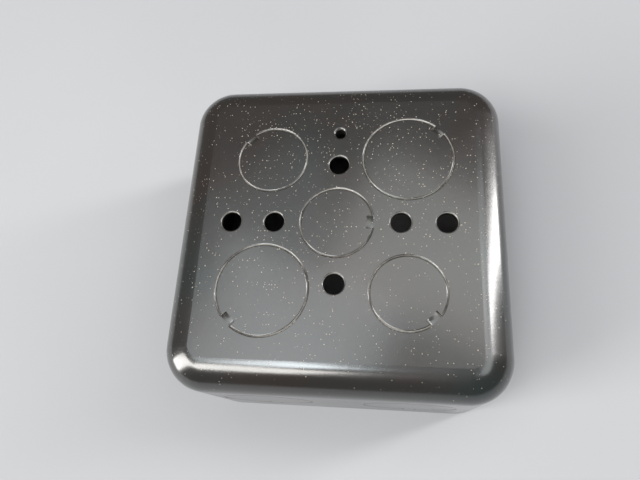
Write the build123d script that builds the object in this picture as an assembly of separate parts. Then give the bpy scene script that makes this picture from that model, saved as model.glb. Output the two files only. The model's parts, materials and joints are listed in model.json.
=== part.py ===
from build123d import *
from math import atan2, degrees, sqrt
import os

# A square electrical outlet box, deep-drawn from one steel sheet, lying with its base up.
# Millimetres. X runs across the base, Y from front to back, +Z out of the base.
# Z is 0 at the open rim, which the box stands on.

# ---- driving sizes ----------------------------------------------------------------------
BOX_SIDE = 102.0          # outside, across the walls
BOX_DEPTH = 54.0          # open rim to the outside of the base
SHEET = 1.6               # steel thickness
CORNER_RADIUS = 13.0      # outside, between two walls
BASE_EDGE_RADIUS = 9.0    # outside, between a wall and the base

# knockouts: a slug sheared almost free, held by one tie
SMALL_OPENING = 22.4      # opening that a slug for 19 mm conduit leaves
LARGE_OPENING = 28.0      # opening that a slug for 25 mm conduit leaves
SHEAR_GAP = 0.1           # between a slug and its opening
SHEAR_ROUND = 0.4         # rolled edge that the punch leaves on the outside
TIE_WIDTH = 3.8
TIE_LENGTH = 2.0          # how far the tie reaches in from the slug's rim
TIE_SLOT = 0.2            # radial cut at each side of the tie
TIE_CLEARANCE = 0.05      # at the tie's inner end, where the slug bends away from it
BASE_KNOCKOUT_PITCH = 43.0
WALL_KNOCKOUT_CORNER_MARGIN = 1.6   # from the bend of a corner to a large opening
WALL_KNOCKOUT_BASE_MARGIN = 4.0     # from the bend of the base to a large opening

# round holes in the base
FIXING_HOLE = 6.4
FIXING_ROUND = 0.35       # rolled outside edge
INNER_FIXING_CIRCLE = 38.8
OUTER_FIXING_PITCH = 66.0
GROUND_HOLE = 3.3         # tapped M4
GROUND_OFFSET = 30.6      # from the centre of the base
GROUND_ROUND = 0.75       # rolled mouth of the extruded collar
GROUND_COLLAR = 5.6       # outside diameter of the collar
GROUND_COLLAR_HEIGHT = 1.4

# cover lugs, one welded into each corner
LUG_HOLE_SETBACK = 9.5    # tapped hole, in from the outside of each wall
LUG_SHEET = 2.0
LUG_WIDTH = 12.0
LUG_LEG = 11.0            # height of the leg that is welded to the wall
LUG_RECESS = 2.8          # in from the open rim, which keeps the screw heads inside it
LUG_COLLAR = 6.4          # outside diameter of the collar round the tapped hole
LUG_COLLAR_HEIGHT = 1.0

# cover screws, M4 pan head with a slot and a cross
SCREW_DIAMETER = 3.9      # over the thread
SCREW_CLEARANCE = 0.05    # radial, in the tapped hole
SCREW_LENGTH = 10.0
SCREW_HEAD = 7.0
SCREW_HEAD_HEIGHT = 2.6
SCREW_HEAD_DOME = 1.3
SCREW_TIP_CHAMFER = 0.6
SCREW_SLOT_WIDTH = 1.0
SCREW_SLOT_DEPTH = 1.1
SCREW_CROSS_SPAN = 4.4
SCREW_CROSS_DEPTH = 1.7

OVERCUT = 1.0             # how far a cutter runs past a face

# ---- sizes that follow ------------------------------------------------------------------
HALF_SIDE = BOX_SIDE / 2
CORNER_AXIS = HALF_SIDE - CORNER_RADIUS
LUG_HOLE = HALF_SIDE - LUG_HOLE_SETBACK
WALL_KNOCKOUT_OFFSET = CORNER_AXIS - WALL_KNOCKOUT_CORNER_MARGIN - LARGE_OPENING / 2
WALL_KNOCKOUT_HEIGHT = (
    BOX_DEPTH - BASE_EDGE_RADIUS - WALL_KNOCKOUT_BASE_MARGIN - LARGE_OPENING / 2
)

# each corner's side along X and Y, and the opening in the base beside it
CORNERS = {
    "front_left": (-1, -1, LARGE_OPENING),
    "front_right": (1, -1, SMALL_OPENING),
    "back_right": (1, 1, LARGE_OPENING),
    "back_left": (-1, 1, SMALL_OPENING),
}
# each wall's direction outwards, its openings, and what its two knockouts are called
WALLS = {
    "front": (0, -1, LARGE_OPENING, ("left", "right")),
    "back": (0, 1, LARGE_OPENING, ("left", "right")),
    "left": (-1, 0, SMALL_OPENING, ("front", "back")),
    "right": (1, 0, SMALL_OPENING, ("front", "back")),
}


class Knockout:
    """A knockout's sizes and its plane, on the sheet's outside face, with x towards the tie."""

    def __init__(self, name, opening, centre, tie_direction, outwards):
        self.name = name
        self.opening_radius = opening / 2
        self.slug_radius = opening / 2 - SHEAR_GAP
        self.notch_start = self.slug_radius - TIE_LENGTH
        self.plane = Plane(centre, x_dir=tie_direction, z_dir=outwards)


def base_knockouts():
    """The centre one has its tie to the right, and the others towards their corners."""
    up = (0, 0, 1)
    centre = Knockout("base_knockout_centre", SMALL_OPENING, (0, 0, BOX_DEPTH), (1, 0, 0), up)
    found = [centre]
    for corner, (sx, sy, opening) in CORNERS.items():
        offset = BASE_KNOCKOUT_PITCH / 2
        place = (sx * offset, sy * offset, BOX_DEPTH)
        found.append(Knockout(f"base_knockout_{corner}", opening, place, (sx, sy, 0), up))
    return found


def wall_knockouts():
    """Two in each wall, with their ties towards the open rim."""
    found = []
    for wall, (nx, ny, opening, labels) in WALLS.items():
        for side, label in zip((-1, 1), labels):
            x = nx * HALF_SIDE + abs(ny) * side * WALL_KNOCKOUT_OFFSET
            y = ny * HALF_SIDE + abs(nx) * side * WALL_KNOCKOUT_OFFSET
            place = (x, y, WALL_KNOCKOUT_HEIGHT)
            name = f"{wall}_wall_knockout_{label}"
            found.append(Knockout(name, opening, place, (0, 0, -1), (nx, ny, 0)))
    return found


def drawn_cup(inset):
    """The box's rounded block, from the open rim up, inset from its outer surface."""
    side = BOX_SIDE - 2 * inset
    block = extrude(RectangleRounded(side, side, CORNER_RADIUS - inset), BOX_DEPTH - inset)
    base_edges = block.faces().sort_by(Axis.Z)[-1].edges()
    return fillet(base_edges, BASE_EDGE_RADIUS - inset)


def rolled_edge(radius, rounding, metal_side, arc=360):
    """What rolling takes off the sharp edge of a circle on XY, from the angle 0 through arc.

    metal_side is 1 round a hole, where the metal lies outside the circle, and -1 round a disc."""
    outer = radius + metal_side * rounding
    spare = radius - metal_side * OVERCUT
    waste = make_face(
        [
            RadiusArc((outer, 0), (radius, -rounding), -metal_side * rounding),
            Line((radius, -rounding), (spare, -rounding)),
            Line((spare, -rounding), (spare, OVERCUT)),
            Line((spare, OVERCUT), (outer, OVERCUT)),
            Line((outer, OVERCUT), (outer, 0)),
        ]
    )
    return revolve(Plane.XZ * waste, Axis.Z, arc)


def hole_cutter(radius, depth):
    """A round cutter from above XY down through depth."""
    return Pos(0, 0, OVERCUT) * extrude(Circle(radius), -depth - 2 * OVERCUT)


def opening_cutters(knockout):
    """The round opening, and its rolled edge, which stops at the tie."""
    half_tie = degrees(atan2(TIE_WIDTH / 2, knockout.opening_radius))
    rolled = rolled_edge(knockout.opening_radius, SHEAR_ROUND, 1, 360 - 2 * half_tie)
    hole = hole_cutter(knockout.opening_radius, SHEET)
    return [knockout.plane * hole, knockout.plane * (Rot(0, 0, half_tie) * rolled)]


def make_slug(knockout):
    """The disc that is knocked out, notched where the tie runs in."""
    notch = Pos(knockout.notch_start, 0) * Rectangle(
        TIE_LENGTH + OVERCUT, TIE_WIDTH + 2 * TIE_SLOT, align=(Align.MIN, Align.CENTER)
    )
    disc = extrude(Circle(knockout.slug_radius) - notch, -SHEET)
    return knockout.plane * (disc - rolled_edge(knockout.slug_radius, SHEAR_ROUND, -1))


def make_tie(knockout):
    """The uncut bridge of sheet between a slug and the edge of its opening."""
    start = knockout.notch_start + TIE_CLEARANCE
    strip = Pos(start, 0) * Rectangle(
        TIE_LENGTH + OVERCUT, TIE_WIDTH, align=(Align.MIN, Align.CENTER)
    )
    return knockout.plane * extrude(strip & Circle(knockout.opening_radius), -SHEET)


def base_holes():
    """Each round hole in the base, as x, y, radius and the rounding of its outside edge."""
    inner = INNER_FIXING_CIRCLE / 2
    outer = OUTER_FIXING_PITCH / 2
    places = [(inner, 0), (-inner, 0), (0, inner), (0, -inner), (outer, 0), (-outer, 0)]
    holes = [(x, y, FIXING_HOLE / 2, FIXING_ROUND) for x, y in places]
    return holes + [(0, GROUND_OFFSET, GROUND_HOLE / 2, GROUND_ROUND)]


def make_shell(knockouts):
    """The drawn cup with its openings, its round holes and the ground screw's collar."""
    shell = drawn_cup(0) - drawn_cup(SHEET)
    collar = extrude(Circle(GROUND_COLLAR / 2), -SHEET - GROUND_COLLAR_HEIGHT)
    shell += Pos(0, GROUND_OFFSET, BOX_DEPTH) * collar
    for x, y, radius, rounding in base_holes():
        place = Pos(x, y, BOX_DEPTH)
        shell -= place * hole_cutter(radius, SHEET + GROUND_COLLAR_HEIGHT)
        shell -= place * rolled_edge(radius, rounding, 1)
    for knockout in knockouts:
        for cutter in opening_cutters(knockout):
            shell -= cutter
    return shell


def make_lug(sx, sy):
    """A leg curved to the corner, and a plate with a collar round its tapped hole."""
    wall = CORNER_RADIUS - SHEET
    reach = (LUG_HOLE - CORNER_AXIS) * sqrt(2)
    strip = Pos(reach, 0) * Rectangle(wall, LUG_WIDTH, align=(Align.MIN, Align.CENTER))
    end = Pos(reach, 0) * Circle(LUG_WIDTH / 2)
    lug = extrude((strip + end) & Circle(wall), LUG_SHEET)
    lug += extrude((strip & Circle(wall)) - Circle(wall - LUG_SHEET), LUG_LEG)
    lug += Pos(reach, 0) * extrude(Circle(LUG_COLLAR / 2), LUG_SHEET + LUG_COLLAR_HEIGHT)
    bore = SCREW_DIAMETER / 2 + SCREW_CLEARANCE
    top = LUG_SHEET + LUG_COLLAR_HEIGHT
    lug -= Pos(reach, 0, top) * hole_cutter(bore, top)
    corner = Plane(
        (sx * CORNER_AXIS, sy * CORNER_AXIS, LUG_RECESS), x_dir=(sx, sy, 0), z_dir=(0, 0, 1)
    )
    return corner * lug


def make_screw(sx, sy):
    """A pan-head screw driven home, with its head on the lug and its shank in the box."""
    head = extrude(Circle(SCREW_HEAD / 2), -SCREW_HEAD_HEIGHT)
    head = fillet(head.faces().sort_by(Axis.Z)[0].edges(), SCREW_HEAD_DOME)
    shank = extrude(Circle(SCREW_DIAMETER / 2), SCREW_LENGTH)
    shank = chamfer(shank.faces().sort_by(Axis.Z)[-1].edges(), SCREW_TIP_CHAMFER)
    screw = head + shank
    slot = extrude(Rectangle(SCREW_HEAD + OVERCUT, SCREW_SLOT_WIDTH), SCREW_SLOT_DEPTH)
    cross = extrude(Rectangle(SCREW_SLOT_WIDTH, SCREW_CROSS_SPAN), SCREW_CROSS_DEPTH)
    screw -= Pos(0, 0, -SCREW_HEAD_HEIGHT) * slot
    screw -= Pos(0, 0, -SCREW_HEAD_HEIGHT) * cross
    return Pos(sx * LUG_HOLE, sy * LUG_HOLE, LUG_RECESS) * screw


def make_nodes():
    """Every node of the box, by name."""
    knockouts = base_knockouts() + wall_knockouts()
    nodes = {"box_shell": make_shell(knockouts)}
    nodes["knockout_ties"] = Compound(children=[make_tie(k) for k in knockouts])
    for knockout in knockouts:
        nodes[knockout.name] = make_slug(knockout)
    for corner, (sx, sy, _) in CORNERS.items():
        nodes[f"cover_lug_{corner}"] = make_lug(sx, sy)
        nodes[f"cover_screw_{corner}"] = make_screw(sx, sy)
    return nodes


os.makedirs("parts", exist_ok=True)
for node, shape in make_nodes().items():
    export_step(shape, f"parts/{node}.step")
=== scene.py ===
import json
import math
import bmesh
import bpy
from mathutils import Matrix, Vector


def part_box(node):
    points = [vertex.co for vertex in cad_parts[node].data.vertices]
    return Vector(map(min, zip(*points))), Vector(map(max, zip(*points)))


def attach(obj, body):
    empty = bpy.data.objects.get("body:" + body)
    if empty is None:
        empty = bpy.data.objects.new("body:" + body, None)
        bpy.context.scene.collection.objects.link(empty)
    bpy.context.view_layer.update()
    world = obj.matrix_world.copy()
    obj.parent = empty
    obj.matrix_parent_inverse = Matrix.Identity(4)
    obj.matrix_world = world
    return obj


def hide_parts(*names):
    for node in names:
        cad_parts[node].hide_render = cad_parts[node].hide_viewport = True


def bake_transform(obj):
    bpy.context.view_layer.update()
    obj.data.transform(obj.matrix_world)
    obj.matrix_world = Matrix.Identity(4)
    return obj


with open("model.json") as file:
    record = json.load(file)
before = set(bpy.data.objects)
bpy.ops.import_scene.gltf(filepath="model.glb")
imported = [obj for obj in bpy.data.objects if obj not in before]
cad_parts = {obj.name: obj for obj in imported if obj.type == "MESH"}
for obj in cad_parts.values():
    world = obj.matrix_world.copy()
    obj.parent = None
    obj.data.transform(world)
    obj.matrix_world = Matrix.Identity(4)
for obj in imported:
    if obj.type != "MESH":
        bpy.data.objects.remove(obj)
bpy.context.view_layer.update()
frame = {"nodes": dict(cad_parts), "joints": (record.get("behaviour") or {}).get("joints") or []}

# Metres, in the CAD model's frame: the box lies on its open side, base up, +Z out of the base.

# ---- sizes that the frame doesn't state -----------------------------------------------------
SHEET = 0.0016
TIE_WIDTH = 0.0038
TIE_INNER = -0.0010        # the tie's end at the slug, from the hinge line towards the shell
TIE_OUTER = 0.0011         # the tie's end at the shell, likewise
TIE_ROOT = 0.00012         # how far the tie's ends run into the metal beside them
TIE_ROUND = 0.0004         # on the outside, like the rolled edges beside it
TIE_ROUND_BELOW = 0.0001
TIE_STEPS = 16
TIE_SINK = (0.00003, 0.00007, 0.00005)   # how far a tie's middle is pushed in, in turn
CORNER_STEPS = 4           # in a quarter circle of a tie's outline
FLAT_REACH = 0.0379        # from the centre, the flat of the base and walls ends about here
WALL_FLAT_TOP = 0.0449     # the walls' flat ends about here, below the base's rounding
RIM_CLEAR = 0.002          # no wear or painted highlight is drawn this near to the open rim
WEAR_AND_HIGHLIGHT_START = 0.00008       # depth below the outer face where a cut edge begins to be worn and painted with a highlight
WEAR_AND_HIGHLIGHT_FULL = 0.00015        # depth where the wear and painted highlight are full, until they end
WEAR_AND_HIGHLIGHT_END = 0.00050
WEAR_AND_HIGHLIGHT_RAGGED = 0.00003      # how far the start of the wear and painted highlight wanders, in depth
THREAD_PITCH = 0.0007
THREAD_DEPTH = 0.00042
THREAD_FLANK = 1.25        # over 1, so that the root between two flanks is flat
THREAD_STEPS = 40          # round one turn
THREAD_RINGS = 9           # along one pitch
SCREW_DIAMETER = 0.0039
SCREW_TIP = 0.0006
SCREW_HEAD_HEIGHT = 0.0026
SCREW_HEAD_DOME = 0.0013
DOME_STEPS = 10
HEAD_STEPS = 64
HEAD_EDGE = 0.00010        # softening of the head's sharp edges
HEAD_EDGE_ANGLE = 35       # degrees, above which an edge is sharp
SLOT_WIDTH = 0.0010
SLOT_DEPTH = 0.0011
CROSS_SPAN = 0.0044
CROSS_DEPTH = 0.0017

shell_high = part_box("box_shell")[1]
BASE = shell_high.z
HALF_SIDE = shell_high.x
CENTRE = Vector((0, 0, BASE / 2))
GROUND_MOUTH = (0, 0.0306, BASE)
GROUND_REACH = (0.0027, 0.0032)   # from the mouth's centre, where its spared lip ends
FLOOR = -0.00002           # just under the rim, so that the two don't share a plane
FLOOR_HALF = 2.0           # half of the floor's side
LAMP_DISTANCE = 1.4        # from the middle of the box


# ---- colours, and the scales of noise in cells per metre ------------------------------------
BROWN_ENAMEL = (0.0185, 0.0130, 0.0115)
TEAL_ENAMEL = (0.0110, 0.0170, 0.0165)
PLAIN_ENAMEL = (0.0140, 0.0135, 0.0125)
DUST = (0.36, 0.31, 0.25)
# worn enamel, which also serves as a painted highlight along the cut edges
WORN_ENAMEL_AND_HIGHLIGHT = (0.40, 0.38, 0.35)
DULL_ZINC = (0.50, 0.50, 0.49)
BRIGHT_ZINC = (0.68, 0.68, 0.66)
DARKER_PAPER = (0.34, 0.345, 0.36)
PAPER = (0.36, 0.365, 0.38)
RAGGED_SCALE = 700.0
WORN_AND_HIGHLIT_PATCH_SCALE = 75.0
LEAST_WEAR_AND_HIGHLIGHT = 0.35          # on a cut edge, as a share of the most
GROUND_WEAR_AND_HIGHLIGHT = 0.25         # on the ground hole's lip, as a share of the wear and painted highlight elsewhere
TONE_SCALE = 30.0
HUE_SCALE = 19.0
GLOSS_SCALE = 45.0
DUST_PATCH_SCALE = 38.0
LARGE_SPECK = (420.0, 0.00021)    # cells per metre, and the largest speck's radius
SMALL_SPECK = (1350.0, 0.00017)
SMALL_SHARE = 1.2          # how much likelier a small speck's cell is to be filled
DUST_FROM = (-0.05, 0.03)  # in Y, from the least dust to the most
DUST_ABOVE = (0.040, 0.053)       # in Z, likewise, since dust settles on top
DUST_AT_FRONT = 0.30       # as a share of the most
DUST_ON_WALLS = 0.04
ENAMEL_ROUGHNESS = (0.19, 0.26)
ZINC_ROUGHNESS = (0.22, 0.42)
DUST_ROUGHNESS = 0.85
WORN_ROUGHNESS = 0.42
WAVE_SCALE = 420.0
WAVE_HEIGHT = 0.000010
PEEL_SCALE = 1500.0
PEEL_HEIGHT = 0.0000035
DUST_HEIGHT = 0.00003
ZINC_TONE_SCALE = 600.0
ZINC_GLOSS_SCALE = 900.0
ZINC_GRAIN_SCALE = 5200.0
ZINC_GRAIN_HEIGHT = 0.000004
PAPER_SCALE = 6.0


# ---- material helpers -----------------------------------------------------------------------
class Shader:
    """A material's node tree, with short ways to add and join nodes."""

    def __init__(self, name):
        self.material = bpy.data.materials.new(name)
        self.material.use_nodes = True
        self.tree = self.material.node_tree
        self.surface = self.tree.nodes["Principled BSDF"]

    def add(self, kind, **settings):
        node = self.tree.nodes.new(kind)
        for key, value in settings.items():
            setattr(node, key, value)
        return node

    def join(self, source, target):
        self.tree.links.new(source, target)

    def place(self):
        return self.add("ShaderNodeTexCoord").outputs["Object"]

    def noise(self, scale, detail=3.0, roughness=0.5):
        node = self.add("ShaderNodeTexNoise")
        node.inputs["Scale"].default_value = scale
        node.inputs["Detail"].default_value = detail
        node.inputs["Roughness"].default_value = roughness
        self.join(self.place(), node.inputs["Vector"])
        return node.outputs["Fac"]

    def spread(self, source, low, high, from_low=0.3, from_high=0.7):
        node = self.add("ShaderNodeMapRange")
        node.inputs["From Min"].default_value = from_low
        node.inputs["From Max"].default_value = from_high
        node.inputs["To Min"].default_value = low
        node.inputs["To Max"].default_value = high
        self.join(source, node.inputs["Value"])
        return node.outputs["Result"]

    def calculate(self, operation, *values):
        node = self.add("ShaderNodeMath", operation=operation)
        for socket, value in zip(node.inputs, values):
            if isinstance(value, (int, float)):
                socket.default_value = value
            else:
                self.join(value, socket)
        return node.outputs["Value"]

    def mix(self, amount, first, second):
        node = self.add("ShaderNodeMix", data_type="RGBA")
        self.join(amount, node.inputs["Factor"])
        for key, value in (("A", first), ("B", second)):
            socket = [s for s in node.inputs if s.name == key and s.type == "RGBA"][0]
            if isinstance(value, tuple):
                socket.default_value = (*value, 1.0)
            else:
                self.join(value, socket)
        return [s for s in node.outputs if s.type == "RGBA"][0]

    def bump(self, height, distance, under=None):
        node = self.add("ShaderNodeBump")
        node.inputs["Strength"].default_value = 1.0
        node.inputs["Distance"].default_value = distance
        self.join(height, node.inputs["Height"])
        if under is not None:
            self.join(under, node.inputs["Normal"])
        return node.outputs["Normal"]

    def axes(self):
        split = self.add("ShaderNodeSeparateXYZ")
        self.join(self.place(), split.inputs["Vector"])
        return [split.outputs[axis] for axis in "XYZ"]

    def distance_to(self, point):
        node = self.add("ShaderNodeVectorMath", operation="DISTANCE")
        self.join(self.place(), node.inputs[0])
        node.inputs[1].default_value = point
        return node.outputs["Value"]

    def worn_and_highlit_edges(self):
        """How worn a cut edge is, with a painted highlight in the same mask, up to 1 a little
        below the outer face, and 0 on the face.
        """
        x, y, z = self.axes()
        x = self.calculate("ABSOLUTE", x)
        y = self.calculate("ABSOLUTE", y)
        past_x = self.calculate("GREATER_THAN", x, FLAT_REACH)
        past_y = self.calculate("GREATER_THAN", y, FLAT_REACH)
        past_z = self.calculate("GREATER_THAN", z, WALL_FLAT_TOP)
        limits_passed = self.calculate("ADD", self.calculate("ADD", past_x, past_y), past_z)
        # a flat part lies past one limit at most, and a rounded part past two or three
        on_flat = self.calculate("LESS_THAN", limits_passed, 1.5)
        flat = self.calculate("MULTIPLY", on_flat, self.calculate("GREATER_THAN", z, RIM_CLEAR))
        to_wall = self.calculate("SUBTRACT", HALF_SIDE, self.calculate("MAXIMUM", x, y))
        depth = self.calculate("MINIMUM", to_wall, self.calculate("SUBTRACT", BASE, z))
        ragged = self.spread(self.noise(RAGGED_SCALE, 2.0), -WEAR_AND_HIGHLIGHT_RAGGED, WEAR_AND_HIGHLIGHT_RAGGED)
        wandering = self.calculate("ADD", depth, ragged)
        started = self.spread(wandering, 0.0, 1.0, WEAR_AND_HIGHLIGHT_START, WEAR_AND_HIGHLIGHT_FULL)
        ended = self.calculate("LESS_THAN", depth, WEAR_AND_HIGHLIGHT_END)
        patchy = self.spread(self.noise(WORN_AND_HIGHLIT_PATCH_SCALE, 2.0), LEAST_WEAR_AND_HIGHLIGHT, 1.0, 0.35, 0.55)
        amount = self.calculate("MULTIPLY", self.calculate("MULTIPLY", started, ended), patchy)
        mouth = self.distance_to(GROUND_MOUTH)
        spared = self.spread(mouth, GROUND_WEAR_AND_HIGHLIGHT, 1.0, *GROUND_REACH)
        return self.calculate("MULTIPLY", flat, self.calculate("MULTIPLY", amount, spared))

    def specks(self, cells, size, share):
        """Scattered round specks, some fainter, and 0 between them. size is the largest radius."""
        node = self.add("ShaderNodeTexVoronoi", feature="F1")
        node.inputs["Scale"].default_value = cells
        self.join(self.place(), node.inputs["Vector"])
        split = self.add("ShaderNodeSeparateColor")
        self.join(node.outputs["Color"], split.inputs["Color"])
        near = self.calculate("MULTIPLY", split.outputs["Green"], size * cells)
        inside = self.calculate("LESS_THAN", node.outputs["Distance"], near)
        kept = self.calculate("LESS_THAN", split.outputs["Red"], share)
        shown = self.calculate("MULTIPLY", inside, kept)
        return self.calculate("MULTIPLY", shown, split.outputs["Blue"])


# ---- materials ------------------------------------------------------------------------------
def enamel_material():
    """Black baked enamel: orange peel, uneven gloss, cool and warm patches, wear with painted
    highlights on the cut edges, and dust.
    """
    s = Shader("black_enamel")
    tone = s.spread(s.noise(TONE_SCALE, 4.0), 0.0, 1.0)
    hue = s.spread(s.noise(HUE_SCALE, 2.0), 0.0, 1.0, 0.4, 0.6)
    patches = s.mix(hue, BROWN_ENAMEL, TEAL_ENAMEL)
    colour = s.mix(tone, patches, PLAIN_ENAMEL)
    y, z = s.axes()[1:]
    towards_back = s.spread(y, DUST_AT_FRONT, 1.0, *DUST_FROM)
    on_top = s.spread(z, DUST_ON_WALLS, 1.0, *DUST_ABOVE)
    settled = s.calculate("MULTIPLY", towards_back, on_top)
    share = s.calculate("MULTIPLY", settled, s.spread(s.noise(DUST_PATCH_SCALE), 0.25, 1.2))
    large = s.specks(*LARGE_SPECK, share)
    small = s.specks(*SMALL_SPECK, s.calculate("MULTIPLY", share, SMALL_SHARE))
    dust = s.calculate("MAXIMUM", large, small)
    colour = s.mix(dust, colour, DUST)
    # the cut edges are painted lighter: partly wear, partly a painted highlight for the light that
    # the rolled edges catch
    wear_and_highlight = s.worn_and_highlit_edges()
    colour = s.mix(wear_and_highlight, colour, WORN_ENAMEL_AND_HIGHLIGHT)
    s.join(colour, s.surface.inputs["Base Color"])
    gloss = s.spread(s.noise(GLOSS_SCALE, 5.0), *ENAMEL_ROUGHNESS)
    dusty = s.calculate("MULTIPLY", dust, DUST_ROUGHNESS)
    worn = s.calculate("MULTIPLY", wear_and_highlight, WORN_ROUGHNESS)
    dull = s.calculate("MAXIMUM", dusty, worn)
    s.join(s.calculate("MAXIMUM", gloss, dull), s.surface.inputs["Roughness"])
    s.surface.inputs["IOR"].default_value = 1.75
    s.surface.inputs["Coat Weight"].default_value = 0.35
    s.surface.inputs["Coat Roughness"].default_value = 0.12
    waves = s.bump(s.noise(WAVE_SCALE, 2.0), WAVE_HEIGHT)
    peel = s.bump(s.noise(PEEL_SCALE, 2.0), PEEL_HEIGHT, waves)
    s.join(s.bump(dust, DUST_HEIGHT, peel), s.surface.inputs["Normal"])
    return s.material


def zinc_material():
    """Bright zinc plating with a fine grain and dull blotches."""
    s = Shader("zinc_plate")
    tone = s.spread(s.noise(ZINC_TONE_SCALE, 4.0), 0.0, 1.0)
    colour = s.mix(tone, DULL_ZINC, BRIGHT_ZINC)
    s.join(colour, s.surface.inputs["Base Color"])
    s.surface.inputs["Metallic"].default_value = 1.0
    gloss = s.spread(s.noise(ZINC_GLOSS_SCALE, 3.0), *ZINC_ROUGHNESS)
    s.join(gloss, s.surface.inputs["Roughness"])
    grain = s.bump(s.noise(ZINC_GRAIN_SCALE, 2.0), ZINC_GRAIN_HEIGHT)
    s.join(grain, s.surface.inputs["Normal"])
    return s.material


def floor_material():
    """Plain pale matt paper."""
    s = Shader("pale_floor")
    tone = s.spread(s.noise(PAPER_SCALE, 2.0), 0.0, 1.0)
    s.join(s.mix(tone, DARKER_PAPER, PAPER), s.surface.inputs["Base Color"])
    s.surface.inputs["Roughness"].default_value = 0.9
    return s.material


ENAMEL = enamel_material()
ZINC = zinc_material()


# ---- pieces ---------------------------------------------------------------------------------
def new_piece(name, mesh, material):
    mesh.materials.append(material)
    piece = bpy.data.objects.new(name, mesh)
    bpy.context.scene.collection.objects.link(piece)
    return piece


def paint_cad_nodes():
    """Gives the CAD nodes their materials. Their shapes stay as they are."""
    for name, node in frame["nodes"].items():
        material = ZINC if name.startswith("cover_screw") else ENAMEL
        for holder in node.material_slots:
            holder.material = material


def round_corner(y, z, radius, start, count=CORNER_STEPS):
    """Points round a quarter circle about y, z, from the angle start in degrees."""
    turns = [math.radians(start + 90 * i / count) for i in range(count + 1)]
    return [(y + radius * math.cos(a), z + radius * math.sin(a)) for a in turns]


def tie_section(dip):
    """The tie's outline across its width: rounded above, nearly sharp below."""
    half = TIE_WIDTH / 2
    upper = SHEET - dip - TIE_ROUND
    low = TIE_ROUND_BELOW
    outline = round_corner(half - TIE_ROUND, upper, TIE_ROUND, 0)
    outline += round_corner(-half + TIE_ROUND, upper, TIE_ROUND, 90)
    outline += round_corner(-half + low, low, low, 180)
    outline += round_corner(half - low, low, low, 270)
    return outline


def make_tie(joint, sink):
    """One tie, between the shell and its slug. Its middle is pushed in by sink."""
    hinge = Vector(joint["pos_m"])
    across = Vector(joint["axis"])
    slug = joint["child"].removesuffix("_slug")
    low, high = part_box(slug)
    outwards = thin_direction(low, high)
    along = outwards.cross(across)
    bm = bmesh.new()
    rings = []
    start = TIE_INNER - TIE_ROOT
    end = TIE_OUTER + TIE_ROOT
    for step in range(TIE_STEPS + 1):
        share = step / TIE_STEPS
        x = start + (end - start) * share
        dip = sink * math.sin(math.pi * share) ** 2
        ring = [
            bm.verts.new(hinge + along * x + across * y + outwards * z)
            for y, z in tie_section(dip)
        ]
        rings.append(ring)
    for first, second in zip(rings, rings[1:]):
        count = len(first)
        for i in range(count):
            j = (i + 1) % count
            bm.faces.new((first[i], first[j], second[j], second[i]))
    bm.faces.new(rings[0][::-1])
    bm.faces.new(rings[-1])
    bmesh.ops.recalc_face_normals(bm, faces=bm.faces)
    mesh = bpy.data.meshes.new("tie_" + slug)
    bm.to_mesh(mesh)
    bm.free()
    mesh.shade_smooth()
    piece = new_piece("tie_" + slug, mesh, ENAMEL)
    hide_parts("knockout_ties")
    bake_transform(piece)


def thin_direction(low, high):
    """The outward normal of a slug, from its box: it is thin along one axis, Z in the base."""
    size = high - low
    middle = (low + high) / 2
    thin = min(range(3), key=lambda i: size[i])
    normal = Vector((0, 0, 0))
    normal[thin] = 1 if thin == 2 or middle[thin] > 0 else -1
    return normal


def lathe(bm, profile, steps, centre):
    """Turns a profile of radius and height about a vertical axis through centre."""
    rings = []
    for radius, height in profile:
        if radius == 0:
            rings.append([bm.verts.new(centre + Vector((0, 0, height)))])
            continue
        turns = [2 * math.pi * i / steps for i in range(steps)]
        rings.append(
            [
                bm.verts.new(centre + Vector((radius * math.cos(a), radius * math.sin(a), height)))
                for a in turns
            ]
        )
    for first, second in zip(rings, rings[1:]):
        for i in range(steps):
            j = (i + 1) % steps
            corners = [first[i % len(first)], first[j % len(first)]]
            corners += [second[j % len(second)], second[i % len(second)]]
            unique = list(dict.fromkeys(corners))
            if len(unique) > 2:
                bm.faces.new(unique)


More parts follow.
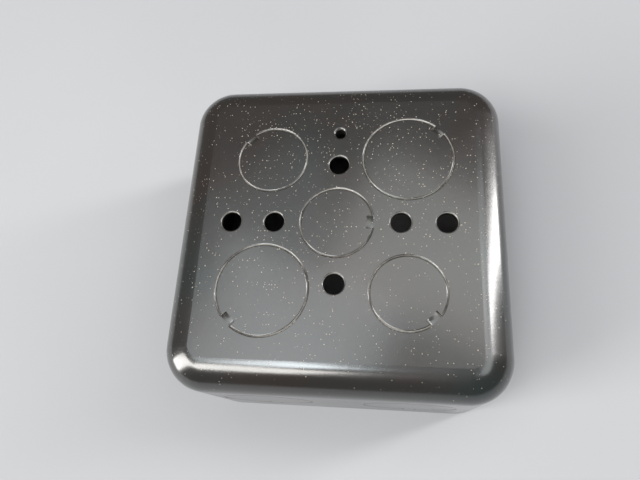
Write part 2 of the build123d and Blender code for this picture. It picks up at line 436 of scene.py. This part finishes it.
def head_piece(name, low, high, seat):
    """A pan head with a domed edge, cut by a slot and a cross."""
    centre = Vector(((low.x + high.x) / 2, (low.y + high.y) / 2, seat))
    radius = (high.x - low.x) / 2
    dome = round_corner(radius - SCREW_HEAD_DOME, -SCREW_HEAD_HEIGHT + SCREW_HEAD_DOME,
                        SCREW_HEAD_DOME, 270, DOME_STEPS)
    profile = [(0, -SCREW_HEAD_HEIGHT)] + dome + [(radius, 0), (0, 0)]
    bm = bmesh.new()
    lathe(bm, profile, HEAD_STEPS, centre)
    bmesh.ops.recalc_face_normals(bm, faces=bm.faces)
    mesh = bpy.data.meshes.new(name)
    bm.to_mesh(mesh)
    bm.free()
    head = new_piece(name, mesh, ZINC)
    bottom = seat - SCREW_HEAD_HEIGHT
    past_both_sides = 4 * radius
    bars = (
        (past_both_sides, SLOT_WIDTH, SLOT_DEPTH),
        (SLOT_WIDTH, CROSS_SPAN, CROSS_DEPTH),
    )
    for width, length, depth in bars:
        cutter_mesh = bpy.data.meshes.new("cutter")
        bm = bmesh.new()
        middle = Vector((centre.x, centre.y, bottom))
        sized = Matrix.Translation(middle) @ Matrix.Diagonal((width, length, 2 * depth, 1))
        bmesh.ops.create_cube(bm, size=1.0, matrix=sized)
        bm.to_mesh(cutter_mesh)
        bm.free()
        cutter = bpy.data.objects.new("cutter", cutter_mesh)
        bpy.context.scene.collection.objects.link(cutter)
        cut = head.modifiers.new("cut", "BOOLEAN")
        cut.operation = "DIFFERENCE"
        cut.solver = "EXACT"
        cut.object = cutter
        apply_modifiers(head)
        bpy.data.objects.remove(cutter)
        bpy.data.meshes.remove(cutter_mesh)
    soften = head.modifiers.new("soften", "BEVEL")
    soften.width = HEAD_EDGE
    soften.segments = 2
    soften.limit_method = "ANGLE"
    soften.angle_limit = math.radians(HEAD_EDGE_ANGLE)
    apply_modifiers(head)
    head.data.shade_smooth()
    return head


def apply_modifiers(obj):
    """Replaces an object's mesh with what its modifiers make of it."""
    bpy.context.view_layer.update()
    graph = bpy.context.evaluated_depsgraph_get()
    finished = bpy.data.meshes.new_from_object(obj.evaluated_get(graph))
    obj.modifiers.clear()
    obj.data = finished


def thread_piece(name, low, high, seat):
    """The threaded shank: a radius that rises and falls along a helix, and a chamfered tip."""
    centre = Vector(((low.x + high.x) / 2, (low.y + high.y) / 2, seat))
    length = high.z - seat
    count = round(length / (THREAD_PITCH / THREAD_RINGS))
    bm = bmesh.new()
    rings = []
    for k in range(count + 1):
        height = length * k / count
        ring = []
        for i in range(THREAD_STEPS):
            angle = 2 * math.pi * i / THREAD_STEPS
            phase = (height / THREAD_PITCH - i / THREAD_STEPS) % 1.0
            crest = 1 - abs(2 * phase - 1)
            radius = SCREW_DIAMETER / 2 - THREAD_DEPTH * min(1.0, THREAD_FLANK * (1 - crest))
            chamfer = SCREW_DIAMETER / 2 - max(0.0, height - length + SCREW_TIP)
            radius = min(radius, chamfer)
            offset = Vector((radius * math.cos(angle), radius * math.sin(angle), height))
            ring.append(bm.verts.new(centre + offset))
        rings.append(ring)
    for first, second in zip(rings, rings[1:]):
        for i in range(THREAD_STEPS):
            j = (i + 1) % THREAD_STEPS
            bm.faces.new((first[i], first[j], second[j], second[i]))
    bm.faces.new(rings[0][::-1])
    bm.faces.new(rings[-1])
    bmesh.ops.recalc_face_normals(bm, faces=bm.faces)
    mesh = bpy.data.meshes.new(name)
    bm.to_mesh(mesh)
    bm.free()
    mesh.shade_smooth()
    return new_piece(name, mesh, ZINC)


def make_screw(node):
    low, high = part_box(node)
    seat = low.z + SCREW_HEAD_HEIGHT
    body = node + "_body"
    for piece in (
        head_piece("head_" + node, low, high, seat),
        thread_piece("thread_" + node, low, high, seat),
    ):
        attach(piece, body)
        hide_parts(node)


# ---- stage ----------------------------------------------------------------------------------
# Each softbox: name, azimuth and elevation in degrees, width, height, radiance and colour.
LAMPS = (
    ("overhead_left", -73, 77, 0.60, 0.52, 2.9, (0.93, 0.98, 1.0)),
    ("overhead_rear", -32, 64, 0.35, 0.25, 0.7, (0.97, 0.99, 1.0)),
    ("overhead_back", 27, 72, 0.68, 0.38, 2.4, (1.0, 0.98, 0.95)),
    ("overhead_front", -132, 75, 0.33, 0.27, 13.0, (0.88, 0.96, 1.0)),
    ("front_lamp", -147, 57, 0.54, 0.40, 11.0, (1.0, 0.98, 0.94)),
    ("right_window", 70, 26, 0.20, 1.60, 18.0, (1.0, 0.98, 0.97)),
    ("right_fill", 83, 64, 1.18, 0.45, 2.4, (0.95, 0.99, 1.0)),
    ("left_window", -114, 28, 0.50, 1.50, 11.0, (1.0, 0.98, 0.95)),
)
ROOM_COLOUR = (0.92, 0.89, 0.86, 1.0)
ROOM_STRENGTH = 0.15
CAMERA_PLACE = (0.0181, -0.0615, BASE + 0.1572)


def direction(azimuth, elevation):
    """A unit vector. The azimuth turns from +Y, away from the camera, towards +X."""
    a, e = math.radians(azimuth), math.radians(elevation)
    return Vector((math.sin(a) * math.cos(e), math.cos(a) * math.cos(e), math.sin(e)))


def softbox(name, azimuth, elevation, width, height, radiance, colour):
    """A rectangular light aimed at the box, given by how bright its face looks."""
    light = bpy.data.lights.new(name, "AREA")
    light.shape = "RECTANGLE"
    light.size, light.size_y = width, height
    light.energy = radiance * math.pi * width * height
    light.color = colour
    lamp = bpy.data.objects.new(name, light)
    towards = direction(azimuth, elevation)
    lamp.location = CENTRE + towards * LAMP_DISTANCE
    lamp.rotation_euler = towards.to_track_quat("Z", "Y").to_euler()
    bpy.context.scene.collection.objects.link(lamp)


def make_lights():
    for lamp in LAMPS:
        softbox(*lamp)
    world = bpy.data.worlds.new("room")
    world.use_nodes = True
    background = world.node_tree.nodes["Background"]
    background.inputs["Color"].default_value = ROOM_COLOUR
    background.inputs["Strength"].default_value = ROOM_STRENGTH
    bpy.context.scene.world = world


def make_floor():
    mesh = bpy.data.meshes.new("floor")
    sides = ((-1, -1), (1, -1), (1, 1), (-1, 1))
    corners = [(x * FLOOR_HALF, y * FLOOR_HALF, FLOOR) for x, y in sides]
    mesh.from_pydata(corners, [], [(0, 1, 2, 3)])
    mesh.materials.append(floor_material())
    floor = bpy.data.objects.new("floor", mesh)
    bpy.context.scene.collection.objects.link(floor)


def make_camera():
    """Over the front edge, looking down and a little to the left."""
    data = bpy.data.cameras.new("camera")
    data.sensor_width = 36.0
    data.lens = 31.4
    data.shift_x = 0.0086
    data.shift_y = -0.0214
    data.clip_start = 0.01
    camera = bpy.data.objects.new("camera", data)
    view = Vector((-0.1455, 0.3527, -0.9243)).normalized()
    up = Vector((-0.0065, 0.9339, 0.3574))
    up = (up - view * up.dot(view)).normalized()
    right = view.cross(up)
    turn = Matrix((right, up, -view)).transposed().to_4x4()
    camera.matrix_world = Matrix.Translation(CAMERA_PLACE) @ turn
    bpy.context.scene.collection.objects.link(camera)
    bpy.context.scene.camera = camera


paint_cad_nodes()
bends = [j for j in frame["joints"] if j["name"].endswith("_bend")]
for index, bend in enumerate(bends):
    make_tie(bend, TIE_SINK[index % len(TIE_SINK)])
for cad_node in frame["nodes"]:
    if cad_node.startswith("cover_screw"):
        make_screw(cad_node)
make_floor()
make_lights()
make_camera()
bpy.context.scene.view_settings.view_transform = "Standard"

bpy.context.view_layer.update()
